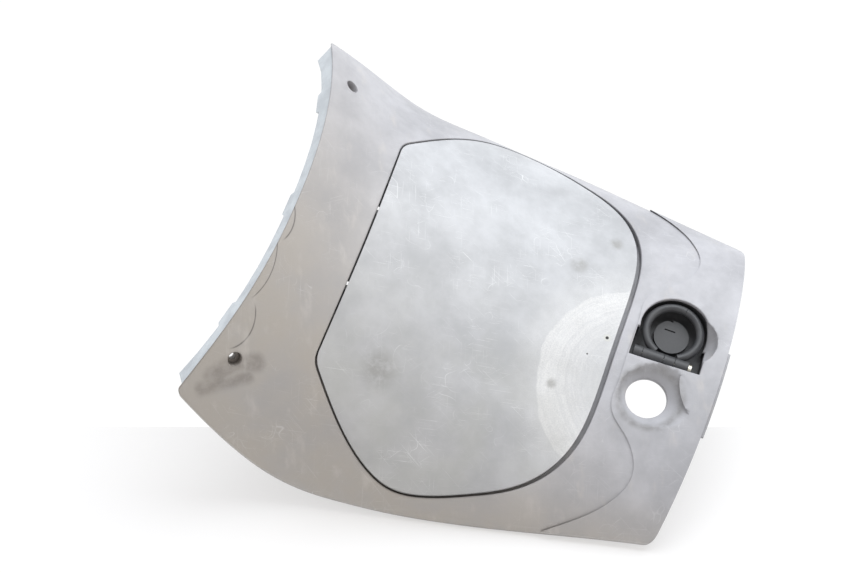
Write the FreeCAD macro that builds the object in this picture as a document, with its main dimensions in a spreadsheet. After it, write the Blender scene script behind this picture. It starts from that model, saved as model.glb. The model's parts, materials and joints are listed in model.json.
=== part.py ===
import FreeCAD, Part
import math
import os
from FreeCAD import Placement, Rotation, Vector

# Inner front panel of a scooter, as fitted: X to the rider's right, +Z up the panel to the lock end,
# and the face towards -Y, where the rider sits. "Out" is a distance towards the rider from the datum.
os.makedirs("parts", exist_ok=True)
doc = FreeCAD.newDocument("inner_front_panel")
dims = doc.addObject("Spreadsheet::Sheet", "dims")

# The moulded skin. Six evenly spaced stations up the panel give the crown line, the arch that
# falls away from it on both sides, and the half width out to the rims.
STATION_PITCH = 78
STATION_SIZES = {
    "crown": (127, 75, 57.5, 43, 38, 44),
    "arch_half_width": (211, 193, 181.5, 170, 155, 139.5),
    "arch_height": (180, 150, 118.5, 88, 67, 59),
    "rim_half_width": (168.5, 181, 178, 167.5, 152, 136.5),
}
SIZES = {
    "datum_out": 30.47, "frame_rise": 5.09,
    "arch_power": 2.26, "arch_curved_share": 0.93, "skin_thickness": 2.5,
    "foot_edge_rise": 35.5, "foot_edge_power": 2.28, "top_edge_rise": 9.3, "panel_length": 390,
    "top_corner_radius": 9, "tip_radius": 3, "brow_height": 1.4, "tongue_from": -23, "tongue_to": 52,
    "tongue_rise": 2, "tongue_thickness": 1.6,
    "foot_flange_depth": 12, "flange_thickness": 2.4, "foot_tab_depth": 16, "foot_tab_width": 19,
    "foot_tab_side": 106, "tip_flange_extra": 5,
    "lid_foot_half": 102.5, "lid_foot": 90.2, "lid_foot_rise": 4, "lid_waist_half": 162.2,
    "lid_waist": 174.5, "lid_head": 308.8, "lid_corner_radius": 16,
    "gap_side": 1.7, "gap_foot": 1.5, "gap_head": 3.8, "frame_wall": 2.2, "ledge_depth": 8,
    "ledge_inset": 7, "hinge_zone_half": 62, "hinge_lip": 2.4,
    "screw_side": 130.6, "screw_up": 34, "screw_clearance_radius": 2.75, "screw_head_radius": 5.8,
    "screw_boss_radius": 8, "screw_boss_length": 14, "screw_head_depth": 7,
    "lock_side": 32, "lock_up": 348, "lock_radius": 17, "lock_depth": 8, "dish_side": 33.5,
    "dish_up": 352, "dish_radius": 28, "lock_rim": 3,
    "ring_side": -29.5, "ring_up": 352.5, "ring_out": 32.5, "ring_radius": 22.3, "ring_tube": 3.4,
    "barrel_side": -3.2, "barrel_radius": 5.7, "barrel_foot": 326, "barrel_bore": 1.56,
    "hook_pin_radius": 1.5, "hook_pin_head": 4.2, "hook_pin_head_length": 2.6,
    "well_radius": 28.2, "well_side": 3.2, "well_half_length": 29.5, "well_floor_out": 16,
    "well_wall": 2, "well_boss_radius": 14.5, "well_boss_height": 6,
    "scoop_side": -25, "scoop_up": 367, "scoop_out": 46, "scoop_radius": 22, "scoop_wall": 2.2,
    "hinge_side": 36, "hinge_up": 78, "hinge_out": 64, "hinge_pin_radius": 2, "hinge_play": 0.05,
    "hinge_eye_radius": 4.8, "arm_width": 6, "arm_play": 1, "lug_width": 3.4, "lug_play": 0.3,
    "bin_side": 9, "bin_foot": 27, "bin_head": 31, "bin_wall": 2.2, "bin_floor_out": -21,
    "bin_flange": 2.2, "bin_screw_radius": 2, "bin_screw_head": 2.8, "bin_screw_head_height": 2.1,
    "bin_screw_length": 11, "notch_half": 9.4, "lid_rim_depth": 5.6, "bumper_radius": 2.0,
    "housing_ear_out": 24, "latch_ear_out": 15.6, "ear_thickness": 2.4, "post_radius": 4, "post_bore": 1.3,
    "small_screw_radius": 1.28, "small_screw_head": 2.7, "small_screw_head_height": 1.8,
    "striker_out": 29, "striker_plate": 2, "striker_up": 291, "striker_thickness": 3, "striker_half": 6,
    "striker_foot_out": 5, "window_half": 3.6, "window_out": 8, "window_height": 5,
    "latch_half": 7, "latch_foot": 298.5, "latch_length": 36, "latch_back_out": 5.4, "latch_depth": 10.2,
    "slide_half": 3, "slide_out": 8.5, "slide_thickness": 4, "slide_foot": 296, "slide_length": 26,
    "slide_play": 0.25, "spring_radius": 1.5, "spring_wire": 0.35,
}
for name, row in STATION_SIZES.items():
    for station, value in enumerate(row):
        SIZES[f"{name}_at_{station * STATION_PITCH}"] = value
for line, (alias, value) in enumerate(SIZES.items(), start=1):
    dims.set(f"A{line}", alias)
    dims.set(f"B{line}", str(value))
    dims.setAlias(f"B{line}", alias)
doc.recompute()


def size(alias):
    return float(dims.get(alias))


THICK = size("skin_thickness")
DATUM = size("datum_out")


def spot(side, out, up):
    """A point given by its distance to the right, out towards the rider and up the panel."""
    return Vector(side, DATUM - out, up)


def along(name, up):
    """A station row at any height: a smooth curve through the stations, straight past the ends."""
    row = [size(f"{name}_at_{i * STATION_PITCH}") for i in range(6)]
    row = [2 * row[0] - row[1]] + row + [2 * row[5] - row[4]]
    k = min(max(int(up // STATION_PITCH), 0), 4)
    t = up / STATION_PITCH - k
    before, left, right, after = row[k:k + 4]
    if t < 0:
        return left + t * (right - before) / 2
    if t > 1:
        return right + (t - 1) * (after - left) / 2
    bend = (2 * before - 5 * left + 4 * right - after) * t + (3 * (left - right) + after - before) * t * t
    return left + t * ((right - before) + bend) / 2


def skin_out(side, up):
    """How far out the face lies: the crown less the fall of an oval arch with straight flanks."""
    power = size("arch_power")
    share = abs(side) / along("arch_half_width", up)
    curved = min(share, size("arch_curved_share"))
    height = along("arch_height", up)
    root = math.sqrt(1 - curved ** power)
    flank = height * power * curved ** (power - 1) / (2 * root)
    return along("crown", up) - height * (1 - root) - (share - curved) * flank


def skin_spot(side, up, depth=0.0):
    """A point at a depth behind the face, measured square to it."""
    step = 0.5
    slope_side = (skin_out(side + step, up) - skin_out(side - step, up)) / (2 * step)
    slope_up = (skin_out(side, up + step) - skin_out(side, up - step)) / (2 * step)
    normal = Vector(-slope_side, -1, -slope_up).normalize()
    return spot(side, skin_out(side, up), up) - normal * depth


def skin_normal(side, up):
    return (skin_spot(side, up) - skin_spot(side, up, 1)).normalize()


def place_above(side, up, depth):
    """The place on the face whose inward normal passes through (side, up) at this depth."""
    face_side, face_up = side, up
    for _ in range(6):
        met = skin_spot(face_side, face_up, depth)
        face_side += side - met.x
        face_up += up - met.z
    return face_side, face_up


def behind(depth):
    """Everything behind the face at this depth, as a solid that reaches well past the rims."""
    rows = []
    for up in range(-28, 430, 24):
        reach = along("rim_half_width", up) + 16
        rows.append([skin_spot(reach * k / 9, up, depth) for k in range(-9, 10)])
    surface = Part.BSplineSurface()
    surface.interpolate(rows)
    return surface.toShape().extrude(Vector(0, 260, 0))


BEHIND = {}


def back_of(depth):
    """The solid behind this depth, made once."""
    if depth not in BEHIND:
        BEHIND[depth] = behind(depth)
    return BEHIND[depth]


def layer(front, back):
    """The material between two depths behind the face."""
    return back_of(front).cut(back_of(back))


def spline(points):
    curve = Part.BSplineCurve()
    curve.interpolate(points)
    return curve.toShape()


def column(edges, out_from=-140, out_to=180):
    """A solid that stands square on the XZ plane over a closed outline."""
    face = Part.Face(Part.Wire(edges))
    face.translate(Vector(0, -out_to, 0))
    return face.extrude(Vector(0, out_to - out_from, 0))


def round_upright_edges(solid, radius, wanted):
    """Rounds the edges of a column that run along Y and pass the test on their X and Z."""
    edges = [e for e in solid.Edges if len(e.Vertexes) == 2
             and abs(e.Vertexes[0].X - e.Vertexes[1].X) < 0.01
             and abs(e.Vertexes[0].Z - e.Vertexes[1].Z) < 0.01 and wanted(e.Vertexes[0].X, e.Vertexes[0].Z)]
    return solid.makeFillet(radius, edges)


def flat(side, up):
    return Vector(side, 0, up)


def foot_edge(side):
    share = abs(side) / size("rim_half_width_at_0")
    return size("foot_edge_rise") * (1 - min(share, 1) ** size("foot_edge_power"))


def panel_column():
    tip = size("rim_half_width_at_0")
    top = size("panel_length")
    corner = size("rim_half_width_at_390")
    foot = spline([flat(tip * k / 6, foot_edge(tip * k / 6)) for k in range(-6, 7)])
    heights = [i * STATION_PITCH for i in range(6)]
    right = spline([flat(size(f"rim_half_width_at_{z}"), z) for z in heights])
    left = spline([flat(-size(f"rim_half_width_at_{z}"), z) for z in heights])
    head = Part.Arc(flat(-corner, top), flat(0, top + size("top_edge_rise")), flat(corner, top)).toShape()
    solid = column([foot, right, head, left.reversed()])
    solid = round_upright_edges(solid, size("top_corner_radius"), lambda x, z: z > top - 5)
    return round_upright_edges(solid, size("tip_radius"), lambda x, z: z < 1)


def brow_column():
    """Everything above the soft step that crosses the panel under the lock and the hook."""
    line = [(0, 322), (32, 322.2), (45.5, 322), (54, 325), (62, 332.5), (71, 343), (80, 350.3), (89, 355),
            (98, 356.6), (108, 354.6), (118, 348.8), (127, 341.2), (136, 330.8), (146, 316.2), (164, 288)]
    right = [flat(x, z) for x, z in line]
    left = [flat(-x, z) for x, z in reversed(line[1:])]
    top = [flat(line[-1][0], 430), flat(-line[-1][0], 430)]
    sides = Part.makePolygon([right[-1]] + top + [left[0]]).Edges
    return column([spline(left + right)] + sides)


def lid_column(side=0.0, foot=0.0, head=0.0):
    """The lid outline grown by so much at the sides, the foot and the head, as a column."""
    waist = size("lid_waist")
    low = size("lid_foot")
    high = size("lid_head")
    half = size("lid_waist_half")
    corner = size("lid_foot_half")
    shape = [(corner, low), (130, 116.5), (154.5, 150), (half, waist), (159.4, 204), (147, 241),
             (134.7, 267.5), (116.5, 289.5), (92.8, 303), (57.6, high), (20, high + 0.2)]
    grown = []
    for x, z in shape:
        if z > waist:
            z = z + head * (z - waist) / (high - waist)
        else:
            z = z - foot * (waist - z) / (waist - low)
        grown.append((x + side * x / half, z))
    right = [flat(x, z) for x, z in grown]
    left = [flat(-x, z) for x, z in reversed(grown)]
    over = spline(right + left)
    under = Part.Arc(left[-1], flat(0, grown[0][1] + size("lid_foot_rise")), right[0]).toShape()
    solid = column([under, over])
    return round_upright_edges(solid, size("lid_corner_radius"), lambda x, z: z < waist - 40)


def feature(label, shape):
    """A sub-part whose free form is worked out from the sheet."""
    item = doc.addObject("Part::Feature", label)
    item.Shape = shape
    item.Label = label
    return item


def box(side, out, up):
    """A block between the given pairs of distances."""
    corner = spot(side[0], out[1], up[0])
    return Part.makeBox(side[1] - side[0], out[1] - out[0], up[1] - up[0], corner)


def rod(radius, start, end):
    return Part.makeCylinder(radius, (end - start).Length, start, end - start)


# Outlines shared by the panel, the lid and the glovebox.
INSET = -size("ledge_inset")
LEDGE_BACK = size("ledge_depth") + size("frame_wall")
OPENING = lid_column(size("gap_side"), size("gap_foot"), size("gap_head"))
FRAME = lid_column(size("gap_side") + size("frame_wall"), size("gap_foot") + size("frame_wall"),
                   size("gap_head") + size("frame_wall"))
LEDGE_HOLE = lid_column(INSET, INSET, INSET)
HINGE_ZONE = box((-size("hinge_zone_half"), size("hinge_zone_half")), (-100, 150), (84, 120))
TOWARD = Vector(0, -1, 0)


def foot_flange():
    """A flange that turns back square to the face along the foot, deeper at its tabs and its tips."""
    tip = size("rim_half_width_at_0") - 5
    half = size("foot_tab_width") / 2
    tabs = [-size("foot_tab_side"), 0, size("foot_tab_side")]
    stations = [tip * k / 8 for k in range(-8, 9) if k % 5]
    stations += [tab + sign * (half + slope) for tab in tabs for sign in (-1, 1) for slope in (0, 2)]
    sections = []
    for side in sorted(stations):
        on_tab = any(abs(side - tab) <= half for tab in tabs)
        depth = size("foot_tab_depth") if on_tab else size("foot_flange_depth")
        depth += size("tip_flange_extra") * (abs(side) / tip) ** 8
        edge = skin_spot(side, foot_edge(side) + 0.8, 1.2)
        up_face = (skin_spot(side, foot_edge(side) + 4, 1.2) - edge).normalize() * size("flange_thickness")
        back = skin_normal(side, foot_edge(side)) * -depth
        sections.append(Part.makePolygon([edge, edge + up_face, edge + up_face + back, edge + back, edge]))
    return Part.makeLoft(sections, True, True)


def well_column(grow, out_from=-140, out_to=180):
    """The D-shaped well of the hook: a round end about the ring and a straight side at the barrel."""
    centre = flat(size("ring_side"), size("ring_up"))
    radius = size("well_radius") + grow
    half = size("well_half_length") + grow
    right = size("well_side") + grow
    left = size("ring_side") + 6
    length = out_to - out_from
    front = Vector(0, DATUM - out_to, 0)
    round_end = Part.makeCylinder(radius, length, centre + front, Vector(0, 1, 0))
    block = Part.makeBox(right - left, length, 2 * half, Vector(left, front.y, size("ring_up") - half))
    return round_end.fuse(block).removeSplitter()


LOCK_SEAT = spot(size("lock_side"), skin_out(size("lock_side"), size("lock_up")) - size("lock_depth"),
                 size("lock_up"))


def lock_cone(grow, drop):
    """The lock dish: an off-centre cone from the round seat of the lock out to the face."""
    brim = spot(size("dish_side"), skin_out(size("dish_side"), size("dish_up")) + 4, size("dish_up"))
    small = Part.Wire(Part.makeCircle(size("lock_radius") + grow, LOCK_SEAT - TOWARD * drop, TOWARD))
    large = Part.Wire(Part.makeCircle(size("dish_radius") + 4 + grow, brim, TOWARD))
    return Part.makeLoft([small, large], True)


def panel_shape():
    """The main moulding: everything it leaves out is cut from one solid, then the lugs are added."""
    skin = back_of(0).common(panel_column())
    skin = skin.cut(back_of(THICK).cut(FRAME))
    skin = skin.cut(OPENING.cut(back_of(size("ledge_depth"))))
    skin = skin.cut(back_of(LEDGE_BACK)).cut(LEDGE_HOLE)
    skin = skin.cut(HINGE_ZONE.common(back_of(size("hinge_lip"))).common(FRAME))

    shape = skin.fuse(foot_flange())

    # The brow, a low raised zone round the lock and the hook, and the tongue on the top edge.
    brow = layer(-size("brow_height"), 1).common(panel_column()).common(brow_column())
    shape = shape.fuse(brow)
    reach = box((size("tongue_from"), size("tongue_to")), (-50, 100), (size("panel_length") - 8, 420))
    tongue = panel_column().translated(Vector(0, 0, size("tongue_rise"))).common(reach)
    shape = shape.fuse(layer(0.4, 0.4 + size("tongue_thickness")).common(tongue))

    # Lower screw bosses, square to the wings, with a sunk seat for the screw head.
    for hand in (-1, 1):
        seat = skin_spot(hand * size("screw_side"), size("screw_up"))
        inward = skin_normal(hand * size("screw_side"), size("screw_up")) * -1
        front = seat - inward * 10
        boss = rod(size("screw_boss_radius"), front, seat + inward * size("screw_boss_length"))
        shape = shape.fuse(boss.common(back_of(1.2)))
        shape = shape.cut(rod(size("screw_head_radius"), front, seat + inward * size("screw_head_depth")))
        shape = shape.cut(rod(size("screw_clearance_radius"), front, seat + inward * 40))

    shape = shape.fuse(lock_cone(THICK, size("lock_rim")).common(back_of(1.2))).cut(lock_cone(0, 0))
    shape = shape.cut(rod(size("lock_radius"), LOCK_SEAT - TOWARD * 20, LOCK_SEAT + TOWARD * 20))

    # Finger scoop beside the hook well, and the well opening itself.
    centre = spot(size("scoop_side"), size("scoop_out"), size("scoop_up"))
    bowl = Part.makeSphere(size("scoop_radius") + size("scoop_wall"), centre)
    shape = shape.fuse(bowl.common(back_of(1.2))).cut(Part.makeSphere(size("scoop_radius"), centre))
    shape = shape.cut(WELL)

    # Two lugs for each hinge arm of the lid, hung from the back of the skin below the opening.
    eye = spot(0, size("hinge_out"), size("hinge_up"))
    radius = size("hinge_eye_radius")
    gap = size("arm_width") + size("lug_width") + 2 * size("lug_play")
    for hand in (-1, 1):
        for offset in (-1, 1):
            middle = hand * size("hinge_side") + offset * gap / 2
            start = eye + Vector(middle - size("lug_width") / 2, 0, 0)
            lug = rod(radius, start, start + Vector(size("lug_width"), 0, 0))
            web = box((middle - size("lug_width") / 2, middle + size("lug_width") / 2),
                      (size("hinge_out"), size("hinge_out") + 30),
                      (size("hinge_up") - radius, size("hinge_up") + radius))
            shape = shape.fuse(lug.fuse(web).common(back_of(1.2)))
    across = Vector(size("hinge_side") + 10, 0, 0)
    return shape.cut(rod(size("hinge_pin_radius"), eye - across, eye + across))


WELL = well_column(0)
BIN = lid_column(-size("bin_side"), -size("bin_foot"), -size("bin_head"))
BIN_HOLLOW = lid_column(*(-size(name) - size("bin_wall") for name in ("bin_side", "bin_foot", "bin_head")))
CATCH_NOTCH = box((-size("notch_half"), size("notch_half")), (-60, 60), (280, size("lid_head") - 1.5))
BIN_SCREWS = [place_above(hand * side, up, 7) for hand in (-1, 1)
              for side, up in ((80, 94), (126.4, 119.5), (139.4, 249.5), (60, 306))]
HOUSING_SCREWS = [(size("ring_side") + 35 * math.cos(turn), size("ring_up") + 35 * math.sin(turn))
                  for turn in (math.radians(140), math.radians(180), math.radians(255))]
LATCH_SCREWS = [(-14.5, 306), (14.5, 306)]
STRIKER_SCREWS = [(-8.5, 284), (8.5, 284)]
BUMPERS = [place_above(hand * 84, 303.6, 5) for hand in (-1, 1)]


def bored(shape, places, radius, front, back):
    """Holes square to the face at the given places, between two depths."""
    for side, up in places:
        shape = shape.cut(rod(radius, skin_spot(side, up, front), skin_spot(side, up, back)))
    return shape


def finished_panel():
    """The panel with the holes and hanging bosses that its screwed-on pieces need."""
    shape = panel_shape().cut(CATCH_NOTCH.common(back_of(4)))
    shape = bored(shape, BIN_SCREWS, size("bin_screw_radius") + 0.3, 4, 14)
    for places, foot_out in ((HOUSING_SCREWS, size("housing_ear_out")),
                             (LATCH_SCREWS, size("latch_ear_out"))):
        for side, up in places:
            foot = spot(side, foot_out, up)
            post = rod(size("post_radius"), foot, foot + TOWARD * 60).common(back_of(1.2))
            shape = shape.fuse(post.cut(OPENING.cut(back_of(size("ledge_depth") + 0.6))))
            shape = shape.cut(rod(size("post_bore"), foot - TOWARD, foot + TOWARD * 9))
    return shape


def lid_shape():
    """Flush skin with a stiffening rim inside its edge, two curved hinge arms and the striker pad."""
    ring = lid_column(-5.2, -5.2, -5.2).cut(lid_column(-7.2, -7.2, -7.2))
    shape = back_of(0).common(lid_column()).cut(back_of(size("lid_rim_depth"))).cut(back_of(THICK).cut(ring))
    pad = box((-13, 13), (size("striker_out") + 2, 60), (279, 297))
    shape = shape.fuse(pad.common(back_of(1.2)))
    eye = (size("hinge_up"), size("hinge_out"))
    neck = [eye, (80.3, 52.9), (87.6, 47.9), (99, 47.6), (107.5, 52.5), (112, 63.5)]
    for hand in (-1, 1):
        start = hand * size("hinge_side") - size("arm_width") / 2
        arm = strip(neck, 5, start, size("arm_width"))
        boss = rod(size("hinge_eye_radius"), spot(start, eye[1], eye[0]),
                   spot(start + size("arm_width"), eye[1], eye[0]))
        shape = shape.fuse(arm.common(back_of(1.2)).fuse(boss))
        middle = spot(start - 5, eye[1], eye[0])
        bore = size("hinge_pin_radius") + size("hinge_play")
        shape = shape.cut(rod(bore, middle, middle + Vector(16, 0, 0)))
    for side, up in STRIKER_SCREWS:
        seat = spot(side, size("striker_out"), up)
        shape = shape.cut(rod(1.3, seat, seat + TOWARD * 5.5))
    return shape


def strip(points, width, start, length):
    """A bent strip of even width along points (up, out), cut to a length across the panel."""
    sides = ([], [])
    for k, (up, out) in enumerate(points):
        before = points[max(k - 1, 0)]
        after = points[min(k + 1, len(points) - 1)]
        run = Vector(after[0] - before[0], after[1] - before[1], 0).normalize()
        for row, sign in zip(sides, (1, -1)):
            row.append((up - sign * run.y * width / 2, out + sign * run.x * width / 2))
    outline = sides[0] + sides[1][::-1]
    corners = [spot(start, out, up) for up, out in outline]
    return Part.Face(Part.makePolygon(corners + corners[:1])).extrude(Vector(length, 0, 0))


def bin_shape():
    """The glovebox tub: a flange under the ledge, upright walls and a flat floor."""
    front = LEDGE_BACK + 0.2
    back = front + size("bin_flange")
    floor = size("bin_floor_out")
    block = back_of(front).common(lid_column(0.5, 3.5, 2)).common(box((-300, 300), (floor, 300), (0, 400)))
    shape = block.cut(back_of(back).cut(BIN))
    shape = shape.cut(BIN_HOLLOW.common(box((-300, 300), (floor + size("bin_wall"), 300), (0, 400))))
    half = size("arm_width") / 2 + size("arm_play")
    for hand in (-1, 1):
        middle = hand * size("hinge_side")
        shape = shape.cut(box((middle - half, middle + half), (0, 100), (74, 117)))
    shape = shape.cut(box((-20, 20), (-60, 60), (size("lid_head") - size("bin_head"), 320)))
    for side, up in BIN_SCREWS:
        boss = rod(4, skin_spot(side, up, front + 0.6), skin_spot(side, up, 21))
        shape = shape.fuse(boss)
    return bored(shape, BIN_SCREWS, size("bin_screw_radius") - 0.15, 5, 19.5)


def screws(places, radius, head_radius, head_height, length, seat):
    """Pan-head screws: seat gives the point under each head and the way each shank runs."""
    solids = []
    for place in places:
        under, way = seat(place)
        shank = rod(radius, under, under + way * length)
        head = rod(head_radius, under - way * head_height, under)
        solids.append(head.fuse(shank).removeSplitter())
    return Part.makeCompound(solids)


def bound(kind, name, sizes, base, rotation=Rotation()):
    """A primitive whose sizes and place are expressions on the sheet."""
    item = doc.addObject(kind, name)
    item.Placement = Placement(Vector(), rotation)
    for prop, expression in sizes.items():
        item.setExpression(prop, expression)
    for letter, expression in zip("xyz", base):
        item.setExpression(f"Placement.Base.{letter}", expression)
    return item


def joined(label, items):
    item = doc.addObject("Part::MultiFuse", label)
    item.Shapes = items
    item.Refine = True
    item.Label = label
    return item


def cut_away(label, item, tools):
    for k, tool in enumerate(tools):
        result = doc.addObject("Part::Cut", f"{label}_{k}" if k < len(tools) - 1 else label)
        result.Base = item
        result.Tool = tool
        item = result
    item.Label = label
    return item


ACROSS = Rotation(Vector(0, 1, 0), 90)
OUTWARD = Rotation(Vector(1, 0, 0), 90)
BARREL = ("dims.barrel_side", "dims.datum_out - dims.ring_out")


def barrel_rod(name, radius, foot, length):
    """A rod about the barrel axis, which runs up the panel."""
    sizes = {"Radius": radius, "Height": length}
    return bound("Part::Cylinder", name, sizes, BARREL + (foot,))


def hook_part(label, first_turn, sweep, foot, length, extra=()):
    """One half of the split ring with its knuckle on the hinge barrel."""
    arc = bound("Part::Torus", f"{label}_arc", {"Radius1": "dims.ring_radius", "Radius2": "dims.ring_tube",
                                                "Angle3": sweep},
                ("dims.ring_side", "dims.datum_out - dims.ring_out", "dims.ring_up"))
    turn = Rotation(Vector(0, 1, 0), -first_turn)
    arc.Placement = Placement(arc.Placement.Base, turn * OUTWARD)
    knuckle = barrel_rod(f"{label}_knuckle", "dims.barrel_radius", foot, length)
    body = joined(f"{label}_body", [arc, knuckle])
    bore = barrel_rod(f"{label}_bore", "dims.barrel_bore", f"{foot} - 1", f"{length} + 2")
    return cut_away(label, body, [bore] + list(extra))


def housing_shape():
    """The black well of the hook: walls, floor, round boss, two barrel lugs and three screw ears."""
    wall = size("well_wall")
    floor = size("well_floor_out")
    outer = well_column(wall, floor, 100).common(back_of(THICK + 0.1))
    shape = outer.cut(well_column(0, floor + wall, 120))
    centre = spot(size("scoop_side"), size("scoop_out"), size("scoop_up"))
    shape = shape.cut(Part.makeSphere(size("scoop_radius") + size("scoop_wall") + 0.2, centre))
    shape = shape.cut(lock_cone(THICK + 0.2, size("lock_rim")))
    foot = spot(size("ring_side"), floor + wall / 2, size("ring_up"))
    boss = rod(size("well_boss_radius"), foot, foot + TOWARD * (size("well_boss_height") + wall / 2))
    shape = shape.fuse(boss)
    for side, length in ((-14, 5), (-5.5, 9)):
        slot = box((size("ring_side") + side, size("ring_side") + side + 1.1),
                   (floor + wall + 3, floor + wall + 20), (size("ring_up") - 7, size("ring_up") - 7 + length))
        shape = shape.cut(slot)
    barrel = size("barrel_side")
    for low, high in ((326, 333), (351.5, 360.4)):
        lug = rod(size("barrel_radius"), spot(barrel, size("ring_out"), low),
                  spot(barrel, size("ring_out"), high))
        web = box((barrel - 3.4, barrel + 3.4), (floor + wall / 2, size("ring_out")), (low, high))
        shape = shape.fuse(lug.fuse(web))
    pin = rod(size("hook_pin_radius"), spot(barrel, size("ring_out"), 320),
              spot(barrel, size("ring_out"), 362))
    shape = shape.cut(pin.common(box((-20, 20), (0, 60), (size("barrel_foot") + 0.6, 362))))
    ears = size("housing_ear_out")
    for side, up in HOUSING_SCREWS:
        seat = spot(side, ears - size("ear_thickness"), up)
        ear = rod(5, seat, seat + TOWARD * size("ear_thickness"))
        arm_way = Vector(size("ring_side") - side, 0, size("ring_up") - up).normalize()
        bridge_end = seat + arm_way * 6
        ear = ear.fuse(rod(5, bridge_end, bridge_end + TOWARD * size("ear_thickness")))
        shape = shape.fuse(ear.cut(well_column(wall / 2)))
        shape = shape.cut(rod(size("post_bore") + 0.3, seat - TOWARD * 5, seat + TOWARD * 5))
    return shape


def down(places, head_out):
    """Screws driven towards the rider, with their heads on a face at the given distance out."""
    return lambda place: (spot(place[0], head_out, place[1]), TOWARD)


def along_depth(place):
    side, up = place
    seat = skin_spot(side, up, size("ledge_depth") - 0.06)
    return seat, skin_normal(side, up) * -1


def bumper_shape():
    pads = []
    for side, up in BUMPERS:
        foot = skin_spot(side, up, size("ledge_depth") + 1)
        pad = rod(size("bumper_radius"), foot, skin_spot(side, up, 2.9))
        pads.append(pad.cut(back_of(size("ledge_depth"))))
    return Part.makeCompound(pads)


def coil(radius, wire, length, turns, start, way):
    """A helical spring, its wire drawn with eight sides."""
    helix = Part.makeHelix(length / turns, length, radius)
    steps = [math.radians(45 * k) for k in range(9)]
    section = Part.makePolygon([Vector(radius + wire * math.cos(a), 0, wire * math.sin(a)) for a in steps])
    solid = Part.Wire(helix.Edges).makePipeShell([section], True, True)
    solid.Placement = Placement(start, Rotation(Vector(0, 0, 1), way))
    return solid


feature("inner_panel", finished_panel())
feature("glovebox_lid", lid_shape())
feature("glovebox_bin", bin_shape())
feature("hook_housing", housing_shape())
feature("lid_bumpers", bumper_shape())
bin_screws = screws(BIN_SCREWS, size("bin_screw_radius") - 0.2, size("bin_screw_head"),
                    size("bin_screw_head_height"), size("bin_screw_length"), along_depth)
feature("bin_screws", bin_screws)
small = (size("small_screw_radius"), size("small_screw_head"), size("small_screw_head_height"))
feature("housing_screws", screws(HOUSING_SCREWS, *small, 9.5,
                                 down(HOUSING_SCREWS, size("housing_ear_out") - size("ear_thickness"))))
feature("latch_screws", screws(LATCH_SCREWS, *small, 9.5,
                               down(LATCH_SCREWS, size("latch_ear_out") - size("ear_thickness"))))
feature("striker_screws", screws(STRIKER_SCREWS, *small, 5.4, down(STRIKER_SCREWS, size("striker_out"))))

# Hook: two halves of a ring on one pin; the outer half is a sprung gate.
hook_part("hook_arm", 167.4, "168.6", "333.4", "17.7")
cavity = barrel_rod("gate_spring_cavity", "4.3", "359.9", "7")
hook_part("hook_gate", 24, "142.6", "360.8", "11.4", [cavity])
joined("hook_pin", [barrel_rod("hook_pin_shank", "dims.hook_pin_radius", "dims.barrel_foot + 0.6", "46"),
                    barrel_rod("hook_pin_head", "dims.hook_pin_head", "372.4", "dims.hook_pin_head_length")])
feature("gate_spring", coil(3, 0.5, 5.2, 3, spot(size("barrel_side"), size("ring_out"), 361.1),
                            Vector(0, 0, 1)))

# Lid hinge pins, each through two lugs of the panel and an arm of the lid.
pins = []
for hand in (-1, 1):
    middle = spot(hand * size("hinge_side"), size("hinge_out"), size("hinge_up"))
    pins.append(rod(size("hinge_pin_radius"), middle - Vector(7.5, 0, 0), middle + Vector(7.5, 0, 0)))
feature("lid_hinge_pins", Part.makeCompound(pins))

# Striker: a plate under the lid with a windowed tongue that the catch enters.
plate = bound("Part::Box", "striker_plate_block",
              {"Length": "26", "Width": "dims.striker_plate", "Height": "18"},
              ("-13", "dims.datum_out - dims.striker_out - dims.striker_plate", "279"))
tongue = bound("Part::Box", "striker_tongue",
               {"Length": "2 * dims.striker_half", "Width": "dims.striker_out - dims.striker_foot_out + 1",
                "Height": "dims.striker_thickness"},
               ("-dims.striker_half", "dims.datum_out - dims.striker_out - 1", "dims.striker_up"))
window = bound("Part::Box", "striker_window",
               {"Length": "2 * dims.window_half", "Width": "dims.window_height", "Height": "10"},
               ("-dims.window_half", "dims.datum_out - dims.window_out - dims.window_height",
                "dims.striker_up - 3"))
striker_holes = [bound("Part::Cylinder", f"striker_hole_{k}",
                       {"Radius": "dims.post_bore + 0.3", "Height": "12"},
                       (str(side), "dims.datum_out - dims.striker_out + 4", str(up)), OUTWARD)
                 for k, (side, up) in enumerate(STRIKER_SCREWS)]
cut_away("lid_striker", joined("striker_body", [plate, tongue]), [window] + striker_holes)

# Latch: a box behind the ledge that guides a sprung catch.
block = bound("Part::Box", "latch_block",
              {"Length": "2 * dims.latch_half", "Width": "dims.latch_depth",
               "Height": "dims.latch_length"},
              ("-dims.latch_half", "dims.datum_out - dims.latch_back_out - dims.latch_depth",
               "dims.latch_foot"))
ears = [bound("Part::Cylinder", f"latch_ear_{k}", {"Radius": "4.5", "Height": "dims.ear_thickness"},
              (str(side), "dims.datum_out - dims.latch_ear_out + dims.ear_thickness", str(up)), OUTWARD)
        for k, (side, up) in enumerate(LATCH_SCREWS)]
bridge = bound("Part::Box", "latch_ear_bridge",
               {"Length": "28", "Width": "dims.ear_thickness", "Height": "9"},
               ("-14", "dims.datum_out - dims.latch_ear_out", "301.5"))
ear_holes = [bound("Part::Cylinder", f"latch_hole_{k}",
                   {"Radius": "dims.post_bore + 0.3", "Height": "12"},
                   (str(side), "dims.datum_out - dims.latch_ear_out + 6", str(up)), OUTWARD)
             for k, (side, up) in enumerate(LATCH_SCREWS)]
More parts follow.
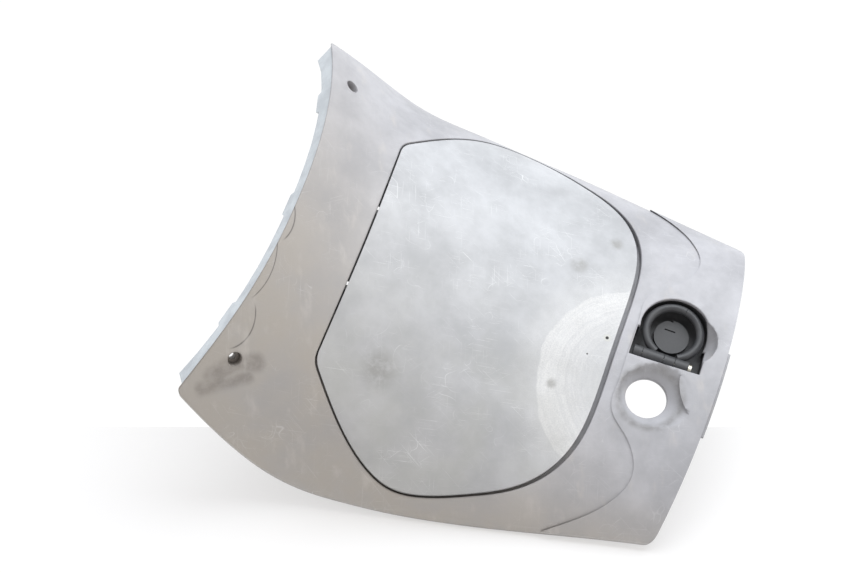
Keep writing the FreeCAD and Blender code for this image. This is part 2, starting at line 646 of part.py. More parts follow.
channel = bound("Part::Box", "latch_channel",
                {"Length": "2 * dims.slide_half + 2 * dims.slide_play",
                 "Width": "dims.slide_thickness + 2 * dims.slide_play", "Height": "dims.latch_length - 2"},
                ("-dims.slide_half - dims.slide_play",
                 "dims.datum_out - dims.slide_out - dims.slide_thickness - dims.slide_play",
                 "dims.latch_foot - 1"))
side_slot = bound("Part::Box", "latch_side_slot",
                  {"Length": "10", "Width": "dims.slide_thickness + 2 * dims.slide_play", "Height": "13"},
                  ("0", "dims.datum_out - dims.slide_out - dims.slide_thickness - dims.slide_play",
                   "dims.latch_foot + 10"))
cut_away("latch_housing", joined("latch_body", [block, bridge] + ears), [channel, side_slot] + ear_holes)
bar = bound("Part::Box", "slide_bar",
            {"Length": "2 * dims.slide_half", "Width": "dims.slide_thickness", "Height": "dims.slide_length"},
            ("-dims.slide_half", "dims.datum_out - dims.slide_out - dims.slide_thickness", "dims.slide_foot"))
lever = bound("Part::Box", "slide_lever",
              {"Length": "16", "Width": "dims.slide_thickness", "Height": "4"},
              ("0", "dims.datum_out - dims.slide_out - dims.slide_thickness", "316.5"))
lever_hole = bound("Part::Cylinder", "slide_lever_hole", {"Radius": "1.2", "Height": "12"},
                   ("13", "dims.datum_out - dims.slide_out + 4", "318.5"), OUTWARD)
cut_away("latch_slide", joined("slide_body", [bar, lever]), [lever_hole])
feature("latch_spring", coil(size("spring_radius"), size("spring_wire"), 8, 6,
                             spot(0, size("slide_out") + 2, 322.7), Vector(0, 0, 1)))

NODES = ("inner_panel", "glovebox_lid", "lid_hinge_pins", "lid_bumpers", "lid_striker", "striker_screws",
         "glovebox_bin", "bin_screws", "latch_housing", "latch_slide", "latch_spring", "latch_screws",
         "hook_housing", "housing_screws", "hook_arm", "hook_gate", "hook_pin", "gate_spring")
doc.recompute()
for label in NODES:
    item = doc.getObjectsByLabel(label)[0]
    item.Placement = Placement(Vector(0, 0, size("frame_rise")), Rotation()).multiply(item.Placement)
doc.recompute()
faults = [item.Name for item in doc.Objects if "Invalid" in item.State or "Error" in item.State]
nodes = {item.Label: item for item in doc.Objects if item.Label in NODES}
for label in NODES:
    shape = nodes[label].Shape
    if shape.isNull() or not shape.isValid():
        faults.append(label)
    print(label, len(shape.Solids), "solids", round(shape.Volume / 1000, 2), "cm3")
if faults:
    raise RuntimeError(f"these failed: {faults}")
for label in NODES:
    nodes[label].Shape.exportStep(f"parts/{label}.step")
everything = Part.makeCompound([nodes[label].Shape for label in NODES])
whole = everything.optimalBoundingBox(False)
print("whole box from", [round(v, 2) for v in (whole.XMin, whole.YMin, whole.ZMin)],
      "to", [round(v, 2) for v in (whole.XMax, whole.YMax, whole.ZMax)])
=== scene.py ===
import bmesh
import bpy
import json
import math
from mathutils import Matrix, Vector

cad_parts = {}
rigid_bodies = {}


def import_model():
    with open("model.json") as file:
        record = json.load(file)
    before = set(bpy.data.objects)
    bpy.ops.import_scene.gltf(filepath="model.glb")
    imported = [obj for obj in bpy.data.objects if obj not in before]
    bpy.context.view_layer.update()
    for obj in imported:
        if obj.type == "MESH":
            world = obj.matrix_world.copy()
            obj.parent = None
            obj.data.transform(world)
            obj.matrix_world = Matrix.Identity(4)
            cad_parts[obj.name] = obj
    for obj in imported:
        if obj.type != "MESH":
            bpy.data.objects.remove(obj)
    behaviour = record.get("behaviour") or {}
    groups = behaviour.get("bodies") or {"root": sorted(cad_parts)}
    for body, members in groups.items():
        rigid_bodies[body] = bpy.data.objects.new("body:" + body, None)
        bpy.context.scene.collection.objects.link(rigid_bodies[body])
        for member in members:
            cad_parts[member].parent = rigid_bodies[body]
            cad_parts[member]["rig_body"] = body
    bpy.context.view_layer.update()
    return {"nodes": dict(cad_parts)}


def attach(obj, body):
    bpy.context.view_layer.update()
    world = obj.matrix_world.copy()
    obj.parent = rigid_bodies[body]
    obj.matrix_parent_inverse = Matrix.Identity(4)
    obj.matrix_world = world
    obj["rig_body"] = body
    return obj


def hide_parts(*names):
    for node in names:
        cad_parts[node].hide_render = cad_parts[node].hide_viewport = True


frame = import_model()

# View from the rider's right, with the panel lying on its side as in the photograph. The camera
# frame was fitted to the outline; a lens of 75 mm gives the photograph's mild perspective.
VIEW_RIGHT = Vector((-0.3338, -0.0586, 0.9408))
VIEW_UP = Vector((-0.8571, -0.3966, -0.3288))
VIEW_BACK = Vector((0.3924, -0.9161, 0.0821))
CAMERA_PLACE = Vector((0.5820, -1.35473, 0.27879))
camera_data = bpy.data.cameras.new("camera")
camera_data.lens = 75.35
camera_data.sensor_width = 36
camera_data.clip_end = 30
camera = bpy.data.objects.new("camera", camera_data)
camera_turn = Matrix((VIEW_RIGHT, VIEW_UP, VIEW_BACK)).transposed().to_4x4()
camera.matrix_world = Matrix.Translation(CAMERA_PLACE) @ camera_turn
bpy.context.scene.collection.objects.link(camera)
bpy.context.scene.camera = camera
bpy.context.scene.view_settings.view_transform = "Standard"


def node_tree(owner):
    """The node tree of a new material or world, emptied."""
    owner.use_nodes = True
    tree = owner.node_tree
    tree.nodes.clear()
    return tree


def add(tree, kind, inputs=None, **settings):
    """A node with its settings and inputs; an input is a value or another node's output."""
    node = tree.nodes.new(kind)
    for name, value in settings.items():
        setattr(node, name, value)
    for name, value in (inputs or {}).items():
        if isinstance(value, bpy.types.NodeSocket):
            tree.links.new(value, node.inputs[name])
        else:
            node.inputs[name].default_value = value
    return node


# The table top: a plain white sheet that the panel's right wing rests on, with its far edge where
# the seam shows low in the picture, and a white wall behind it. Each shows from its front side only,
# so that it hides nothing in the views from below or behind.
TABLE_PITCH = math.radians(33)
SHEET_REACH = 3
SEAM_SLOPE = 0.0781
table_normal = (VIEW_UP * math.cos(TABLE_PITCH) + VIEW_BACK * math.sin(TABLE_PITCH)).normalized()
table_depth = table_normal.cross(VIEW_RIGHT)
lowest = min(v.co.dot(table_normal) for v in frame["nodes"]["inner_panel"].data.vertices)
table_mesh = bpy.data.meshes.new("table_top")
middle = table_normal * (lowest - 0.001)
seam_line = VIEW_UP - VIEW_BACK * SEAM_SLOPE
far_edge = (CAMERA_PLACE - middle).dot(seam_line) / table_depth.dot(seam_line)
near_edge = far_edge - math.copysign(SHEET_REACH, table_depth.dot(-VIEW_BACK))
table_mesh.from_pydata([middle + VIEW_RIGHT * (SHEET_REACH * x) + table_depth * y
                        for x, y in ((-1, near_edge), (1, near_edge), (1, far_edge), (-1, far_edge))],
                       [], [(0, 1, 2, 3)])
if table_mesh.polygons[0].normal.dot(table_normal) < 0:
    table_mesh.flip_normals()
wall_mesh = bpy.data.meshes.new("wall")
wall_foot = middle + table_depth * far_edge - VIEW_BACK * 0.3 - VIEW_UP * 0.6
wall_mesh.from_pydata([wall_foot + (VIEW_RIGHT * x + VIEW_UP * y) * SHEET_REACH
                       for x, y in ((-1, 0), (1, 0), (1, 1), (-1, 1))], [], [(0, 1, 2, 3)])
if wall_mesh.polygons[0].normal.dot(VIEW_BACK) < 0:
    wall_mesh.flip_normals()
sheets = ((table_mesh, "table_top", 0.5, (1, 0.99, 0.985, 1), 0.93),
          (wall_mesh, "wall", 0.0, (1, 1, 1, 1), 1.03))
for mesh, name, diffuse_share, tint, strength in sheets:
    sheet_white = bpy.data.materials.new(f"{name}_white")
    tree = node_tree(sheet_white)
    side = add(tree, "ShaderNodeNewGeometry")
    glow = add(tree, "ShaderNodeEmission", {"Color": tint, "Strength": strength})
    white = add(tree, "ShaderNodeBsdfDiffuse", {"Color": (0.93, 0.93, 0.93, 1)})
    sheet = add(tree, "ShaderNodeMixShader", {0: diffuse_share, 1: glow.outputs[0], 2: white.outputs[0]})
    clear = add(tree, "ShaderNodeBsdfTransparent")
    shown = add(tree, "ShaderNodeMixShader", {0: side.outputs["Backfacing"], 1: sheet.outputs[0],
                                              2: clear.outputs[0]})
    add(tree, "ShaderNodeOutputMaterial", {"Surface": shown.outputs[0]})
    mesh.materials.append(sheet_white)
    sheet_object = bpy.data.objects.new(name, mesh)
    bpy.context.scene.collection.objects.link(sheet_object)

# Studio light: an even white surround, brighter from above the table, and one large soft lamp that
# stands over the panel and towards its lock end.
world = bpy.data.worlds.new("studio")
bpy.context.scene.world = world
tree = node_tree(world)
ray = add(tree, "ShaderNodeTexCoord")
height = add(tree, "ShaderNodeVectorMath", {0: ray.outputs["Generated"], 1: VIEW_UP[:]},
             operation="DOT_PRODUCT")
shade = add(tree, "ShaderNodeValToRGB", {"Fac": height.outputs["Value"]})
shade.color_ramp.elements[0].color = (0.70, 0.66, 0.62, 1)
shade.color_ramp.elements[1].color = (1.0, 1.03, 1.09, 1)
sky = add(tree, "ShaderNodeBackground", {"Color": shade.outputs["Color"], "Strength": 0.95})
add(tree, "ShaderNodeOutputWorld", {"Surface": sky.outputs[0]})
lamp_data = bpy.data.lights.new("soft_lamp", "AREA")
lamp_data.size = 1.4
lamp_data.energy = 20
lamp_data.color = (0.95, 0.98, 1.0)
lamp = bpy.data.objects.new("soft_lamp", lamp_data)
lamp_reach = VIEW_UP * 1.3 + VIEW_BACK * 0.7 + VIEW_RIGHT * 0.5
lamp.location = lamp_reach + Vector((0, 0, 0.2))
lamp.rotation_mode = "QUATERNION"
lamp.rotation_quaternion = lamp_reach.to_track_quat("Z", "Y")
bpy.context.scene.collection.objects.link(lamp)

# Inner panel: one large moulding of grey lacquered plastic. Its face is a saddle whose crown line,
# arch and half width run smoothly through six stations up the panel, 78 mm apart.
MM = 0.001
FACE_CROWN = (127, 75, 57.5, 43, 38, 44)
FACE_ARCH_HALF = (211, 193, 181.5, 170, 155, 139.5)
FACE_ARCH_HEIGHT = (180, 150, 118.5, 88, 67, 59)
FACE_ARCH_POWER = 2.26
FACE_CURVED_SHARE = 0.93
FACE_STATION = 78
FACE_DATUM = 30.47
FACE_RISE = 5.09


def station_row(row, up):
    """A station row at any height, in millimetres."""
    row = (2 * row[0] - row[1],) + row + (2 * row[5] - row[4],)
    k = min(max(int(up // FACE_STATION), 0), 4)
    t = up / FACE_STATION - k
    before, left, right, after = row[k:k + 4]
    if t < 0:
        return left + t * (right - before) / 2
    if t > 1:
        return right + (t - 1) * (after - left) / 2
    bend = (2 * before - 5 * left + 4 * right - after) * t + (3 * (left - right) + after - before) * t * t
    return left + t * ((right - before) + bend) / 2


def face_out(across, up):
    """How far the face stands out towards the rider: a crown line less an oval arch."""
    share = abs(across) / station_row(FACE_ARCH_HALF, up)
    curved = min(share, FACE_CURVED_SHARE)
    height = station_row(FACE_ARCH_HEIGHT, up)
    root = math.sqrt(1 - curved ** FACE_ARCH_POWER)
    flank = height * FACE_ARCH_POWER * curved ** (FACE_ARCH_POWER - 1) / (2 * root)
    return station_row(FACE_CROWN, up) - height * (1 - root) - (share - curved) * flank


def face_normal(across, up):
    slope_across = face_out(across + 0.5, up) - face_out(across - 0.5, up)
    slope_up = face_out(across, up + 0.5) - face_out(across, up - 0.5)
    return Vector((-slope_across, -1, -slope_up)).normalized()


def face_depth(point):
    """The depth of a point behind the face, in millimetres, and the face's normal near it."""
    across, up = point.x / MM, point.z / MM - FACE_RISE
    normal = face_normal(across, up)
    gap = point.y / MM - (FACE_DATUM - face_out(across, up))
    return gap * -normal.y, normal


DEPTH_PLAY = 0.12
STEP_PLAY = 0.15
LOWEST_STEP = 0.4


def dressed(node, depths=(), crease=32, soft_step=0.0):
    """A joined copy of a CAD node that is smooth but for its creases. Triangles that lie at one of
    the given depths behind the face take the face's own normal, so no facet shows on them, and the
    wall of a low step that stands proud of the face is shaded as a soft ramp."""
    mesh = frame["nodes"][node].data.copy()
    mesh.name = f"{node}_finished"
    bm = bmesh.new()
    bm.from_mesh(mesh)
    bmesh.ops.remove_doubles(bm, verts=bm.verts, dist=2e-6)
    for edge in bm.edges:
        edge.smooth = len(edge.link_faces) == 2 and edge.calc_face_angle(3) < math.radians(crease)
    for face in bm.faces:
        face.smooth = True
    bm.to_mesh(mesh)
    bm.free()
    if depths:
        measured = [face_depth(v.co) for v in mesh.vertices]
        normals = [tuple(corner.vector) for corner in mesh.corner_normals]
        for face in mesh.polygons:
            for depth in depths:
                if all(abs(measured[v][0] - depth) < DEPTH_PLAY for v in face.vertices):
                    facing = face.normal.dot(measured[face.vertices[0]][1])
                    if abs(facing) > 0.9:
                        for loop in face.loop_indices:
                            normal = measured[mesh.loops[loop].vertex_index][1]
                            normals[loop] = tuple(normal if facing > 0 else -normal)
            heights = [-measured[v][0] for v in face.vertices]
            if soft_step and min(heights) > -STEP_PLAY and max(heights) - min(heights) > LOWEST_STEP:
                for loop in face.loop_indices:
                    ramp = measured[mesh.loops[loop].vertex_index][1] + face.normal * soft_step
                    normals[loop] = tuple(ramp.normalized())
        mesh.normals_split_custom_set(normals)
    piece = bpy.data.objects.new(f"{node}_finished", mesh)
    bpy.context.scene.collection.objects.link(piece)
    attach(piece, frame["nodes"][node]["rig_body"])
    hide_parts(node)
    return piece


def paint(piece, material):
    """Covers a piece with one material in place of the plain one of its CAD node."""
    piece.data.materials.clear()
    piece.data.materials.append(material)


def mapped(tree, scale, turn=(0, 0, 0), place=(0, 0, 0)):
    """Object coordinates in millimetres, stretched by the scale after a turn in degrees."""
    where = add(tree, "ShaderNodeTexCoord")
    turned = add(tree, "ShaderNodeMapping", {"Vector": where.outputs["Object"], "Location": place,
                                             "Rotation": [math.radians(a) for a in turn],
                                             "Scale": (1000, 1000, 1000)})
    return add(tree, "ShaderNodeVectorMath", {0: turned.outputs[0], 1: scale},
               operation="MULTIPLY").outputs[0]


def noise(tree, vector, detail=3.0, rough=0.55):
    return add(tree, "ShaderNodeTexNoise", {"Vector": vector, "Scale": 1.0, "Detail": detail,
                                            "Roughness": rough}).outputs["Fac"]


def fade(tree, value, low, high, to_low=0.0, to_high=1.0):
    """A smooth fade of a value from one range to another."""
    return add(tree, "ShaderNodeMapRange", {"Value": value, "From Min": low, "From Max": high,
                                            "To Min": to_low, "To Max": to_high},
               interpolation_type="SMOOTHSTEP").outputs[0]


def math_node(tree, operation, first, second=0.0, third=0.0):
    return add(tree, "ShaderNodeMath", {0: first, 1: second, 2: third}, operation=operation).outputs[0]


def mix_colour(tree, share, first, second):
    return add(tree, "ShaderNodeMix", {"Factor": share, 6: first, 7: second}, data_type="RGBA").outputs[2]


def scratch_set(tree, angle, length, width, cut, seed):
    """Thin straight scratches one way across the face: stretched noise, kept only at its peaks."""
    vector = mapped(tree, (1 / length, 0.004, 1 / width), turn=(0, angle, 0), place=(seed, seed, 0))
    return fade(tree, noise(tree, vector, detail=1.0), cut, cut + 0.035)


def greatest(tree, values):
    result = values[0]
    for value in values[1:]:
        result = math_node(tree, "MAXIMUM", result, value)
    return result


def hairlines(tree, cell, width, seed, share):
    """Short curved scratches: the edges of warped cells, seen only in scattered patches."""
    where = mapped(tree, (1, 1, 1), place=(seed, 0, -seed))
    warp = add(tree, "ShaderNodeTexNoise", {"Vector": where, "Scale": 1.3 / cell, "Detail": 1.0})
    bent = add(tree, "ShaderNodeVectorMath", {0: warp.outputs["Color"], 1: (cell * 1.9,) * 3, 2: where},
               operation="MULTIPLY_ADD").outputs[0]
    edges = add(tree, "ShaderNodeTexVoronoi", {"Vector": bent, "Scale": 1 / cell},
                feature="DISTANCE_TO_EDGE")
    line = fade(tree, edges.outputs["Distance"], 0.0, width / cell, 1.0, 0.0)
    patch = noise(tree, mapped(tree, (1 / (0.8 * cell),) * 3, place=(0, seed, 4)), detail=1.5)
    return math_node(tree, "MULTIPLY", line, fade(tree, patch, 1 - share, 1.08 - share))


def distance_from(tree, place):
    """The distance from a place on the face, in front view, given across and up."""
    across, up = place
    return add(tree, "ShaderNodeVectorMath", {0: mapped(tree, (1, 0, 1)), 1: (across, 0, up + FACE_RISE)},
               operation="DISTANCE").outputs["Value"]


def spot_mask(tree, place, radius, soft):
    """One inside a round place on the face, fading out past its radius."""
    return fade(tree, distance_from(tree, place), radius, radius + soft, 1.0, 0.0)


def lacquer(name, colour, scratch_share, dirt_and_shade_share):
    """Grey lacquer over plastic: cloudy dulling, fine pale scratches in many directions, darker
    mottling, and a warm brown darkening, partly dirt and partly painted shade, that thickens
    towards the panel's foot and its right rim, the sides turned from the lamp."""
    material = bpy.data.materials.new(name)
    tree = node_tree(material)
    cloud = noise(tree, mapped(tree, (1 / 55, 1 / 55, 1 / 55)), detail=5.0, rough=0.6)
    mottle = noise(tree, mapped(tree, (1 / 9, 1 / 9, 1 / 9)), detail=6.0, rough=0.65)
    light = tuple(c * 1.14 for c in colour) + (1,)
    dark = tuple(c * 0.84 for c in colour) + (1,)
    base = mix_colour(tree, fade(tree, cloud, 0.3, 0.7), dark, light)
    deep = tuple(c * 0.8 for c in colour) + (1,)
    base = mix_colour(tree, fade(tree, mottle, 0.35, 0.75, 0.0, 0.22), base, deep)
    # Partly dirt, partly painted shade: a warm brown darkening towards the foot and the right rim.
    parts = add(tree, "ShaderNodeSeparateXYZ", {0: mapped(tree, (1, 1, 1))})
    slant = math_node(tree, "MULTIPLY_ADD", parts.outputs["X"], -1.3, parts.outputs["Z"])
    low = fade(tree, slant, -60, 300, 1.0, 0.0)
    low = math_node(tree, "MAXIMUM", low, fade(tree, parts.outputs["X"], 95, 165, 0.0, 1.0))
    brown_dirt_and_shade = math_node(tree, "MULTIPLY", low, fade(tree, cloud, 0.25, 0.65, 0.55, 1.0))
    brown_dirt_and_shade = math_node(tree, "MULTIPLY", brown_dirt_and_shade, dirt_and_shade_share)
    base = mix_colour(tree, brown_dirt_and_shade, base, (0.395, 0.36, 0.315, 1))
    scratches = greatest(tree, [
        scratch_set(tree, 18, 34, 0.42, 0.70, 3.1), scratch_set(tree, -41, 26, 0.36, 0.71, 17.7),
        scratch_set(tree, 66, 42, 0.40, 0.70, 41.3), scratch_set(tree, -77, 20, 0.34, 0.72, 59.9),
        scratch_set(tree, 103, 30, 0.38, 0.715, 83.1), hairlines(tree, 33, 0.26, 12, 0.42),
        hairlines(tree, 21, 0.20, 71, 0.38), hairlines(tree, 55, 0.30, 133, 0.45)])
    patches = noise(tree, mapped(tree, (1 / 38, 1 / 38, 1 / 38), place=(9, 5, 2)))
    patches = fade(tree, patches, 0.45, 0.62, 0.15, 1.0)
    scratches = math_node(tree, "MULTIPLY", math_node(tree, "MULTIPLY", scratches, patches), scratch_share)
    base = mix_colour(tree, scratches, base, (0.86, 0.87, 0.88, 1))
    return material, tree, base, mottle


def finish_lacquer(tree, base, rough, bump_height, edge_radius):
    """The surface of the lacquer, half gloss where whole and duller where rubbed, with the soft
    edges that thick paint and a worn mould leave."""
    soft_edge = add(tree, "ShaderNodeBevel", {"Radius": edge_radius}, samples=6)
    bump = add(tree, "ShaderNodeBump", {"Height": bump_height, "Strength": 0.6, "Distance": 0.00006,
                                        "Normal": soft_edge.outputs[0]})
    surface = add(tree, "ShaderNodeBsdfPrincipled", {"Base Color": base, "Roughness": rough,
                                                     "Normal": bump.outputs[0]})
    surface.inputs["Specular IOR Level"].default_value = 0.42
    add(tree, "ShaderNodeOutputMaterial", {"Surface": surface.outputs[0]})


PANEL_GREY = (0.435, 0.438, 0.465)
DISH_PLACE = (33, 350)
SCREW_PLACES = ((129, 35), (-129, 35))
panel_lacquer, tree, base, mottle = lacquer("panel_lacquer", PANEL_GREY, 0.22, 0.85)


def smear(tree, start, end, width, soft):
    """A streak along a line on the face, given in distances across and up."""
    length = math.dist(start, end)
    turn = math.atan2(end[1] - start[1], end[0] - start[0])
    parts = add(tree, "ShaderNodeSeparateXYZ", {0: mapped(tree, (1, 1, 1))})
    across = math_node(tree, "SUBTRACT", parts.outputs["X"], start[0])
    up = math_node(tree, "SUBTRACT", parts.outputs["Z"], start[1] + FACE_RISE)
    run = math_node(tree, "MULTIPLY_ADD", across, math.cos(turn),
                    math_node(tree, "MULTIPLY", up, math.sin(turn)))
    off = math_node(tree, "MULTIPLY_ADD", across, -math.sin(turn),
                    math_node(tree, "MULTIPLY", up, math.cos(turn)))
    held = math_node(tree, "MINIMUM", math_node(tree, "MAXIMUM", run, 0.0), length)
    past = math_node(tree, "SUBTRACT", run, held)
    square = math_node(tree, "MULTIPLY_ADD", past, past, math_node(tree, "MULTIPLY", off, off))
    away = math_node(tree, "SQRT", square)
    return fade(tree, away, width, width + soft, 1.0, 0.0)


def ring_scuff(tree, centre, radius, width, sides):
    """A dark arc: a thin ring on the face, seen only between two distances across."""
    away = distance_from(tree, centre)
    off = math_node(tree, "ABSOLUTE", math_node(tree, "SUBTRACT", away, radius))
    across = add(tree, "ShaderNodeSeparateXYZ", {0: mapped(tree, (1, 1, 1))}).outputs["X"]
    inside = math_node(tree, "MULTIPLY", fade(tree, across, sides[0], sides[0] + 6),
                       fade(tree, across, sides[1] - 6, sides[1], 1.0, 0.0))
    return math_node(tree, "MULTIPLY", fade(tree, off, 0.0, width, 1.0, 0.0), inside)


stain = greatest(tree, [smear(tree, (132, 36), (150, 22), 2, 7), smear(tree, (136, 47), (160, 16), 0.5, 6),
                        smear(tree, (124, 50), (129, 42), 2, 7)])
stain = math_node(tree, "MULTIPLY", stain, fade(tree, mottle, 0.3, 0.65, 0.25, 0.55))
base = mix_colour(tree, stain, base, (0.17, 0.15, 0.135, 1))
scuffs = greatest(tree, [ring_scuff(tree, (22, 8), 32, 0.8, (-6, 36)),
                         ring_scuff(tree, (60, -20), 58, 0.6, (34, 88)),
                         ring_scuff(tree, (104, 10), 29, 0.8, (88, 128))])
base = mix_colour(tree, math_node(tree, "MULTIPLY", scuffs, 0.7), base, (0.06, 0.055, 0.055, 1))
worn = noise(tree, mapped(tree, (1 / 30, 1 / 30, 1 / 12), turn=(0, 25, 0), place=(4, 4, 4)), detail=5)
base = mix_colour(tree, fade(tree, worn, 0.55, 0.75, 0.0, 0.35), base, (0.56, 0.53, 0.50, 1))
# Dirt and painted shade: darker in creases, where ambient occlusion finds surfaces close by, and most in
# the screw seats.
creases = add(tree, "ShaderNodeAmbientOcclusion", {"Distance": 0.006})
crease_dirt_and_shade = fade(tree, creases.outputs["AO"], 0.35, 0.85, 1.0, 0.0)
seats = greatest(tree, [spot_mask(tree, place, 6, 4) for place in SCREW_PLACES])
crease_dirt_and_shade = math_node(tree, "MULTIPLY", crease_dirt_and_shade, math_node(tree, "MULTIPLY_ADD", seats, 0.78, 0.14))
base = mix_colour(tree, crease_dirt_and_shade, base, (0.12, 0.105, 0.095, 1))
# A darker ring over the dish's sloping wall and lip: dirt rings and painted shade in the recess.
dish = distance_from(tree, DISH_PLACE)
ring = math_node(tree, "MULTIPLY", fade(tree, dish, 20, 25), fade(tree, dish, 26, 31, 1.0, 0.0))
ring = math_node(tree, "MULTIPLY", ring, fade(tree, mottle, 0.3, 0.7, 0.15, 0.6))
base = mix_colour(tree, ring, base, (0.20, 0.195, 0.19, 1))
rough = fade(tree, mottle, 0.3, 0.7, 0.36, 0.5)
finish_lacquer(tree, base, rough, mottle, 0.0024)
inner_panel = dressed("inner_panel", depths=(0, 2.5, -1.4), soft_step=0.1)
paint(inner_panel, panel_lacquer)

# The locating flange along the panel's foot, moulded in one with it. It sits behind the next cover,
# so it has missed the dirt and stayed a pale blue-grey.
FOOT_RISE = 35.5
FOOT_HALF = 168.5
FOOT_POWER = 2.28
flange_plastic = bpy.data.materials.new("flange_plastic")
tree = node_tree(flange_plastic)
cloud = noise(tree, mapped(tree, (1 / 12, 1 / 12, 1 / 12)), detail=4.0)
base = mix_colour(tree, fade(tree, cloud, 0.3, 0.7), (0.50, 0.54, 0.58, 1), (0.62, 0.67, 0.71, 1))
finish_lacquer(tree, base, fade(tree, cloud, 0.3, 0.7, 0.4, 0.55), cloud, 0.0006)
inner_panel.data.materials.append(flange_plastic)
for face in inner_panel.data.polygons:
    across = face.center.x / MM
    up = face.center.z / MM - FACE_RISE
    foot = FOOT_RISE * (1 - min(abs(across) / FOOT_HALF, 1) ** FOOT_POWER)
    depth, _ = face_depth(face.center)
    if up < foot + 2.5 and (depth > 0.4 or up < foot - 0.3) and abs(across) < 170:
        face.material_index = 1

# Glovebox lid: a flush moulding in the same plastic, paler and more scratched than the panel, with
# a chalky patch near its head where a bunch of keys has swung against it.
LID_GREY = (0.485, 0.497, 0.518)
lid_lacquer, tree, base, mottle = lacquer("lid_lacquer", LID_GREY, 0.62, 0.25)
KEY_PLACE = (27, 341)
KEY_SWING = 85
wander = noise(tree, mapped(tree, (1 / 26, 1 / 26, 1 / 26), place=(7, 1, 3)), detail=4)
swing = math_node(tree, "MULTIPLY_ADD", wander, 9.0, distance_from(tree, KEY_PLACE))
patch = fade(tree, swing, KEY_SWING + 3, KEY_SWING + 7, 1.0, 0.0)
rim = math_node(tree, "MULTIPLY", patch, fade(tree, swing, KEY_SWING - 46, KEY_SWING - 4, 0.45, 1.0))
around = add(tree, "ShaderNodeCombineXYZ", {"X": math_node(tree, "MULTIPLY", swing, 0.3),
                                            "Y": math_node(tree, "MULTIPLY", wander, 2.0)}).outputs[0]
arcs = noise(tree, around, detail=5, rough=0.7)
powder = fade(tree, noise(tree, mapped(tree, (0.9, 0.9, 0.9)), detail=5, rough=0.7), 0.3, 0.7, 0.45, 1.0)
rub = math_node(tree, "MULTIPLY", rim, fade(tree, arcs, 0.3, 0.65, 0.5, 1.0))
rub = math_node(tree, "MULTIPLY", rub, powder)
haze = math_node(tree, "MULTIPLY", fade(tree, swing, KEY_SWING + 2, KEY_SWING + 34, 0.30, 0.0), powder)
rub = math_node(tree, "MAXIMUM", math_node(tree, "MULTIPLY", rub, 0.82), haze)
base = mix_colour(tree, rub, base, (0.84, 0.84, 0.83, 1))
# Patchy greenish tone that is partly painted shade: it grows towards the lid's right side, turned from the
# lamp.
green_tone_and_shade = noise(tree, mapped(tree, (1 / 45, 1 / 45, 1 / 45), place=(2, 8, 6)), detail=3)
lid_parts = add(tree, "ShaderNodeSeparateXYZ", {0: mapped(tree, (1, 1, 1))})
green_tone_and_shade = math_node(tree, "MULTIPLY", fade(tree, green_tone_and_shade, 0.35, 0.7, 0.0, 0.4),
                  fade(tree, lid_parts.outputs["X"], -60, 120))
base = mix_colour(tree, green_tone_and_shade, base, (0.42, 0.425, 0.40, 1))
smudges = greatest(tree, [spot_mask(tree, (49, 272), 1.5, 4.5), spot_mask(tree, (-58, 262), 2, 8),
                          spot_mask(tree, (-92, 285), 2, 6), spot_mask(tree, (90, 140), 4, 16)])
base = mix_colour(tree, math_node(tree, "MULTIPLY", smudges, fade(tree, mottle, 0.3, 0.6, 0.15, 0.6)), base,
                  (0.26, 0.255, 0.24, 1))
nick = greatest(tree, [spot_mask(tree, (-3.8, 302.7), 1.1, 0.5), spot_mask(tree, (15.3, 291.6), 0.5, 0.4)])
chipped = spot_mask(tree, (-3.8, 302.7), 2.2, 1.6)
base = mix_colour(tree, math_node(tree, "MULTIPLY", chipped, 0.5), base, (0.62, 0.62, 0.56, 1))
base = mix_colour(tree, nick, base, (0.015, 0.015, 0.015, 1))
rough = math_node(tree, "MULTIPLY_ADD", rub, 0.2, fade(tree, mottle, 0.3, 0.7, 0.34, 0.46))
finish_lacquer(tree, base, rough, mottle, 0.0008)
glovebox_lid = dressed("glovebox_lid", depths=(0, 2.5))
paint(glovebox_lid, lid_lacquer)

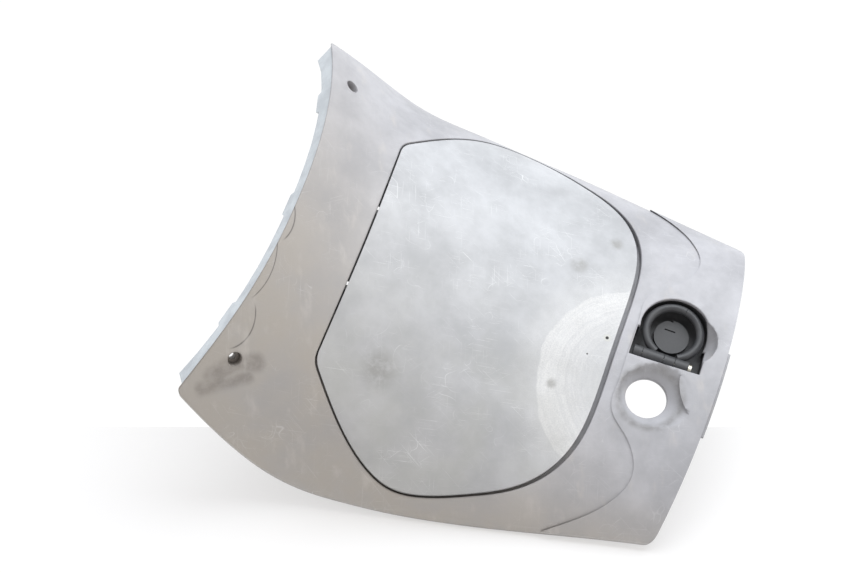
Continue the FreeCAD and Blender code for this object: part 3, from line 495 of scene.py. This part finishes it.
# Plain black mouldings behind and inside: the glovebox tub, the latch, the striker and the hook
# with its well. They are of dark plastic with a fine spark-eroded grain.
def black_plastic(name, colour, dust):
    material = bpy.data.materials.new(name)
    tree = node_tree(material)
    grain = noise(tree, mapped(tree, (2.2, 2.2, 2.2)), detail=4.0, rough=0.7)
    haze = noise(tree, mapped(tree, (1 / 14, 1 / 14, 1 / 14)), detail=5.0)
    base = mix_colour(tree, fade(tree, haze, 0.35, 0.75, 0.0, dust), colour, (0.30, 0.30, 0.30, 1))
    bump = add(tree, "ShaderNodeBump", {"Height": grain, "Strength": 0.5, "Distance": 0.00008})
    surface = add(tree, "ShaderNodeBsdfPrincipled", {"Base Color": base, "Normal": bump.outputs[0],
                                                     "Roughness": fade(tree, haze, 0.3, 0.7, 0.38, 0.55)})
    add(tree, "ShaderNodeOutputMaterial", {"Surface": surface.outputs[0]})
    return material


tub_black = black_plastic("tub_black", (0.035, 0.035, 0.038, 1), 0.12)
hook_black = black_plastic("hook_black", (0.042, 0.044, 0.049, 1), 0.12)
for node in ("glovebox_bin", "latch_housing", "latch_slide", "lid_striker"):
    piece = dressed(node)
    paint(piece, tub_black)
for node in ("hook_housing", "hook_arm", "hook_gate"):
    piece = dressed(node, crease=40)
    paint(piece, hook_black)

# Two rubber stops that the lid closes on. They stand on the ledge near the lid's head and keep it
# from rattling.
rubber = black_plastic("stop_rubber", (0.02, 0.02, 0.02, 1), 0.05)
stops = dressed("lid_bumpers")
paint(stops, rubber)

# Zinc-plated steel: the hook's pin, the hinge pins, the springs and all screws. The plating has a
# faint yellow cast and dulls in patches.
zinc = bpy.data.materials.new("yellowed_zinc")
tree = node_tree(zinc)
patch = noise(tree, mapped(tree, (0.4, 0.4, 0.4)), detail=4.0)
base = mix_colour(tree, fade(tree, patch, 0.3, 0.7), (0.62, 0.58, 0.44, 1), (0.70, 0.69, 0.64, 1))
surface = add(tree, "ShaderNodeBsdfPrincipled", {"Base Color": base,
                                                 "Roughness": fade(tree, patch, 0.3, 0.7, 0.28, 0.5)})
surface.inputs["Metallic"].default_value = 1.0
add(tree, "ShaderNodeOutputMaterial", {"Surface": surface.outputs[0]})
for node in ("hook_pin", "lid_hinge_pins", "latch_spring", "gate_spring", "striker_screws", "bin_screws",
             "latch_screws", "housing_screws"):
    piece = dressed(node, crease=40)
    paint(piece, zinc)
